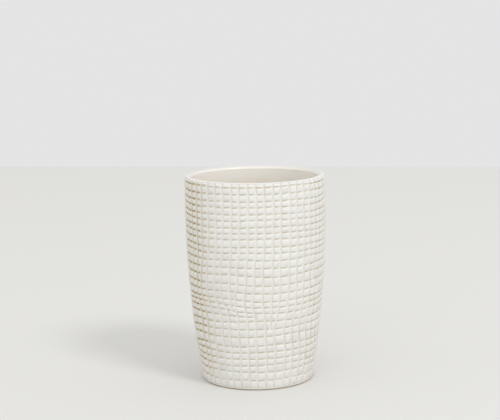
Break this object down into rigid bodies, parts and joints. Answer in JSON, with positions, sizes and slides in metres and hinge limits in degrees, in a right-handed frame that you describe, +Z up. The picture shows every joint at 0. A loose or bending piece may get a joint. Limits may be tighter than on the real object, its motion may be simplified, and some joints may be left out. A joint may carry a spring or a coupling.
{
  "type": "bathroom tumbler",
  "caption": "Off-white stoneware bathroom tumbler with a barrel-shaped wall in woven-grid relief, a gloss glazed lining and soft bumper feet in a recessed base.",
  "frame": {"origin": "centre of the standing plane under the bumper feet, on the cup's axis", "axes": "+Z up along the cup's axis of turning; +X and +Y run between the bumper feet"},
  "size_m": [0.075, 0.075, 0.11],
  "materials": {
    "satin_stoneware": "warm off-white satin stoneware, woven-grid relief, warmer in the grooves, sparse iron specks, bare clay underneath",
    "gloss_glaze": "warm off-white gloss glaze",
    "bumper_rubber": "milky soft polyurethane, satin",
    "clear_adhesive": "hazy acrylic adhesive film"
  },
  "bodies": {
    "root": {"stoneware_body": "satin_stoneware", "glaze_lining": "gloss_glaze", "bumper_foot_1": "bumper_rubber", "bumper_foot_2": "bumper_rubber", "bumper_foot_3": "bumper_rubber", "bumper_foot_4": "bumper_rubber", "adhesive_disc_1": "clear_adhesive", "adhesive_disc_2": "clear_adhesive", "adhesive_disc_3": "clear_adhesive", "adhesive_disc_4": "clear_adhesive"}
  },
  "joints": []
}
